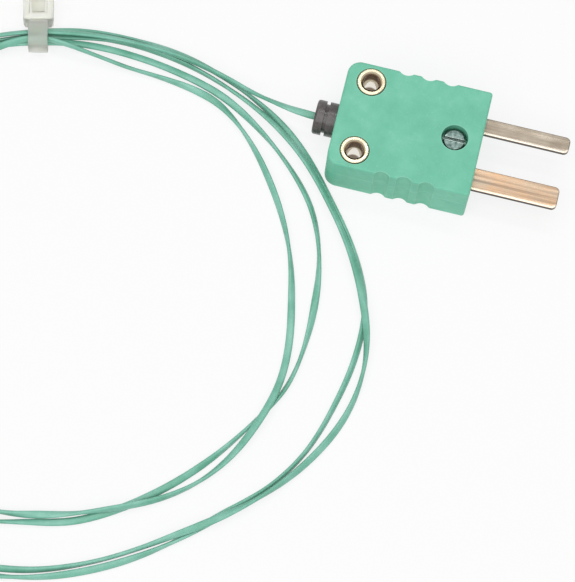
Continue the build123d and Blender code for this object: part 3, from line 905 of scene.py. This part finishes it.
# %% Head and tail
def head_mesh():
    """The gripping head with its pawl pocket, and the tail that comes out of it."""
    bm = bmesh.new()
    y0 = tie_radius + outer_gap + strap_thickness / 2
    y1, h = y0 + head_length, head_width / 2
    body = block(bm, -h, h, y0, y1, table_gap, head_height)
    soften(bm, body, head_round, 4)
    lid = max(bm.faces, key=lambda f: (round(f.calc_center_median().z, 4), f.calc_area()))
    bmesh.ops.inset_region(bm, faces=[lid], thickness=pocket_rim, depth=0)
    bmesh.ops.inset_region(bm, faces=[lid], thickness=pocket_wall, depth=-pocket_depth)
    middle = head_height / 2
    w, t = strap_width / 2 - tail_narrower, (strap_thickness - tail_thinner) / 2
    tail = block(bm, -w, w, y1 - tail_overlap, y1 + tail_length, middle - t, middle + t)
    soften(bm, tail, 0.14, 3)
    pawl = block(bm, -w + pawl_margin, w - pawl_margin, y0 + pawl_start, y0 + pawl_end,
                 head_height - pawl_bottom, head_height - pawl_top)
    soften(bm, pawl, 0.12, 2)
    for number in range(tooth_count):
        y = y1 + tooth_start + number * tooth_pitch
        tooth = block(bm, -w + tooth_margin, w - tooth_margin, y, y + tooth_length,
                      middle + t - tooth_root, middle + t + tooth_rise)
        soften(bm, tooth, 0.05, 1)
    return bm


tie_strap = solid_piece("tie_strap", strap_mesh(), tie_nylon, coil_frame)
tie_head = solid_piece("tie_head", head_mesh(), tie_nylon, coil_frame)
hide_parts("coil_tie")
print("tie:", len(tie_strap.data.polygons), "and", len(tie_head.data.polygons), "faces")

# %% [markdown]
# ## Measuring tip
# At the far end the sheath is stripped back, the green and the white core part a little, and
# their bare wires are welded into one small bead: the measuring junction. The cores and wires
# are curves swept with a round section, and the bead is a sphere with slow bulges, since no weld
# is quite round.

# %% Tip sizes, in millimetres and degrees round the coil
core_diameter, conductor_diameter, bead_radius = 0.48, 0.2, 0.4
core_tip, bead_place = (128, 30.6), (132.5, 29.6)   # (angle, radius)
tip_spread = 0.32                                   # how far each core's end stands from the middle
core_height = core_diameter / 2 + 0.02              # a core that lies on the table


# %% Cores and bare wires
def round_section(diameter, count=14):
    """An oval section whose two sizes are the same."""
    return oval_section(diameter, diameter, 0, count)


def tip_core(name, side, finish):
    """A core from inside the sheath to its stripped end; side is 1 or -1."""
    angle, radius, height = sheath_tip
    points = [coil_place(angle - 1.2, radius + side * core_diameter * 0.3, height),
              coil_place(angle, radius + side * core_diameter * 0.54, height - 0.05),
              coil_place(angle + 3.4, radius - 0.9 + side * (core_diameter / 2 + 0.2), 0.32),
              coil_place(angle + 6.5, radius - 1.6 + side * (core_diameter / 2 + 0.14), 0.26),
              coil_place(core_tip[0], core_tip[1] + side * tip_spread, core_height)]
    core = swept_mesh(name, nurbs_line(name + "_line", points), round_section(core_diameter))
    dress(core, finish)
    return core


def tip_wire(name, side):
    """A bare wire from inside its core to the bead; side is 1 or -1."""
    angle, radius = core_tip
    points = [coil_place(angle - 0.8, radius + side * tip_spread + 0.15, core_height),
              coil_place(angle + 1.4, radius - 0.3 + side * (tip_spread + 0.1), 0.28),
              coil_place(angle + 3.0, radius - 0.65 + side * 0.22, 0.36),
              coil_place(bead_place[0], bead_place[1] + side * 0.05, bead_radius)]
    wire = swept_mesh(name, nurbs_line(name + "_line", points),
                      round_section(conductor_diameter, 10))
    dress(wire, bare_wire)
    return wire


tip_parts = [tip_core("tip_green_core", 1, green_film), tip_core("tip_white_core", -1, white_film),
             tip_wire("tip_green_wire", 1), tip_wire("tip_white_wire", -1)]
for part, node_name in zip(tip_parts, ("tip_positive_core", "tip_negative_core",
                                       "tip_positive_wire", "tip_negative_wire")):
    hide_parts(node_name)


# %% Welded bead
bead_shrink = 0.94                                  # leaves room for the bulges


def bead_mesh():
    """A sphere with a few slow bulges, as a melted drop has."""
    bm = bmesh.new()
    bmesh.ops.create_icosphere(bm, subdivisions=4, radius=bead_radius * bead_shrink)
    for vert in bm.verts:
        bulge = 0.035 * sin(9 * vert.co.x + 1) * cos(11 * vert.co.y) + 0.02 * sin(14 * vert.co.z)
        vert.co *= 1 + bulge
    return bm


bead_centre = Vector(coil_place(*bead_place, bead_radius)) * MM
bead = solid_piece("welded_bead", bead_mesh(), bare_wire,
                   Matrix.Translation(bead_centre) @ Matrix.Scale(MM, 4), 60)
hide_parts("junction_bead")
print("bead centre:", [round(x / MM, 2) for x in bead_centre], "mm")

# %% [markdown]
# ## Riding on the bodies
# Everything modelled here belongs to the lead or the coil, and that lies with the plug's base.

# %% Ride on the base
finish_slots = {"tie_strap": "clear_nylon", "tie_head": "clear_nylon",
                "tip_green_core": "green_core", "tip_white_core": "white_core",
                "tip_green_wire": "nickel_chromium", "tip_white_wire": "nickel_aluminium",
                "welded_bead": "nickel_chromium", "lead": "green_sheath"}
for name, slot in finish_slots.items():
    piece = bpy.data.objects[name]
    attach(piece, "base")
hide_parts("lead_tail", "lead_coil", "lead_end")
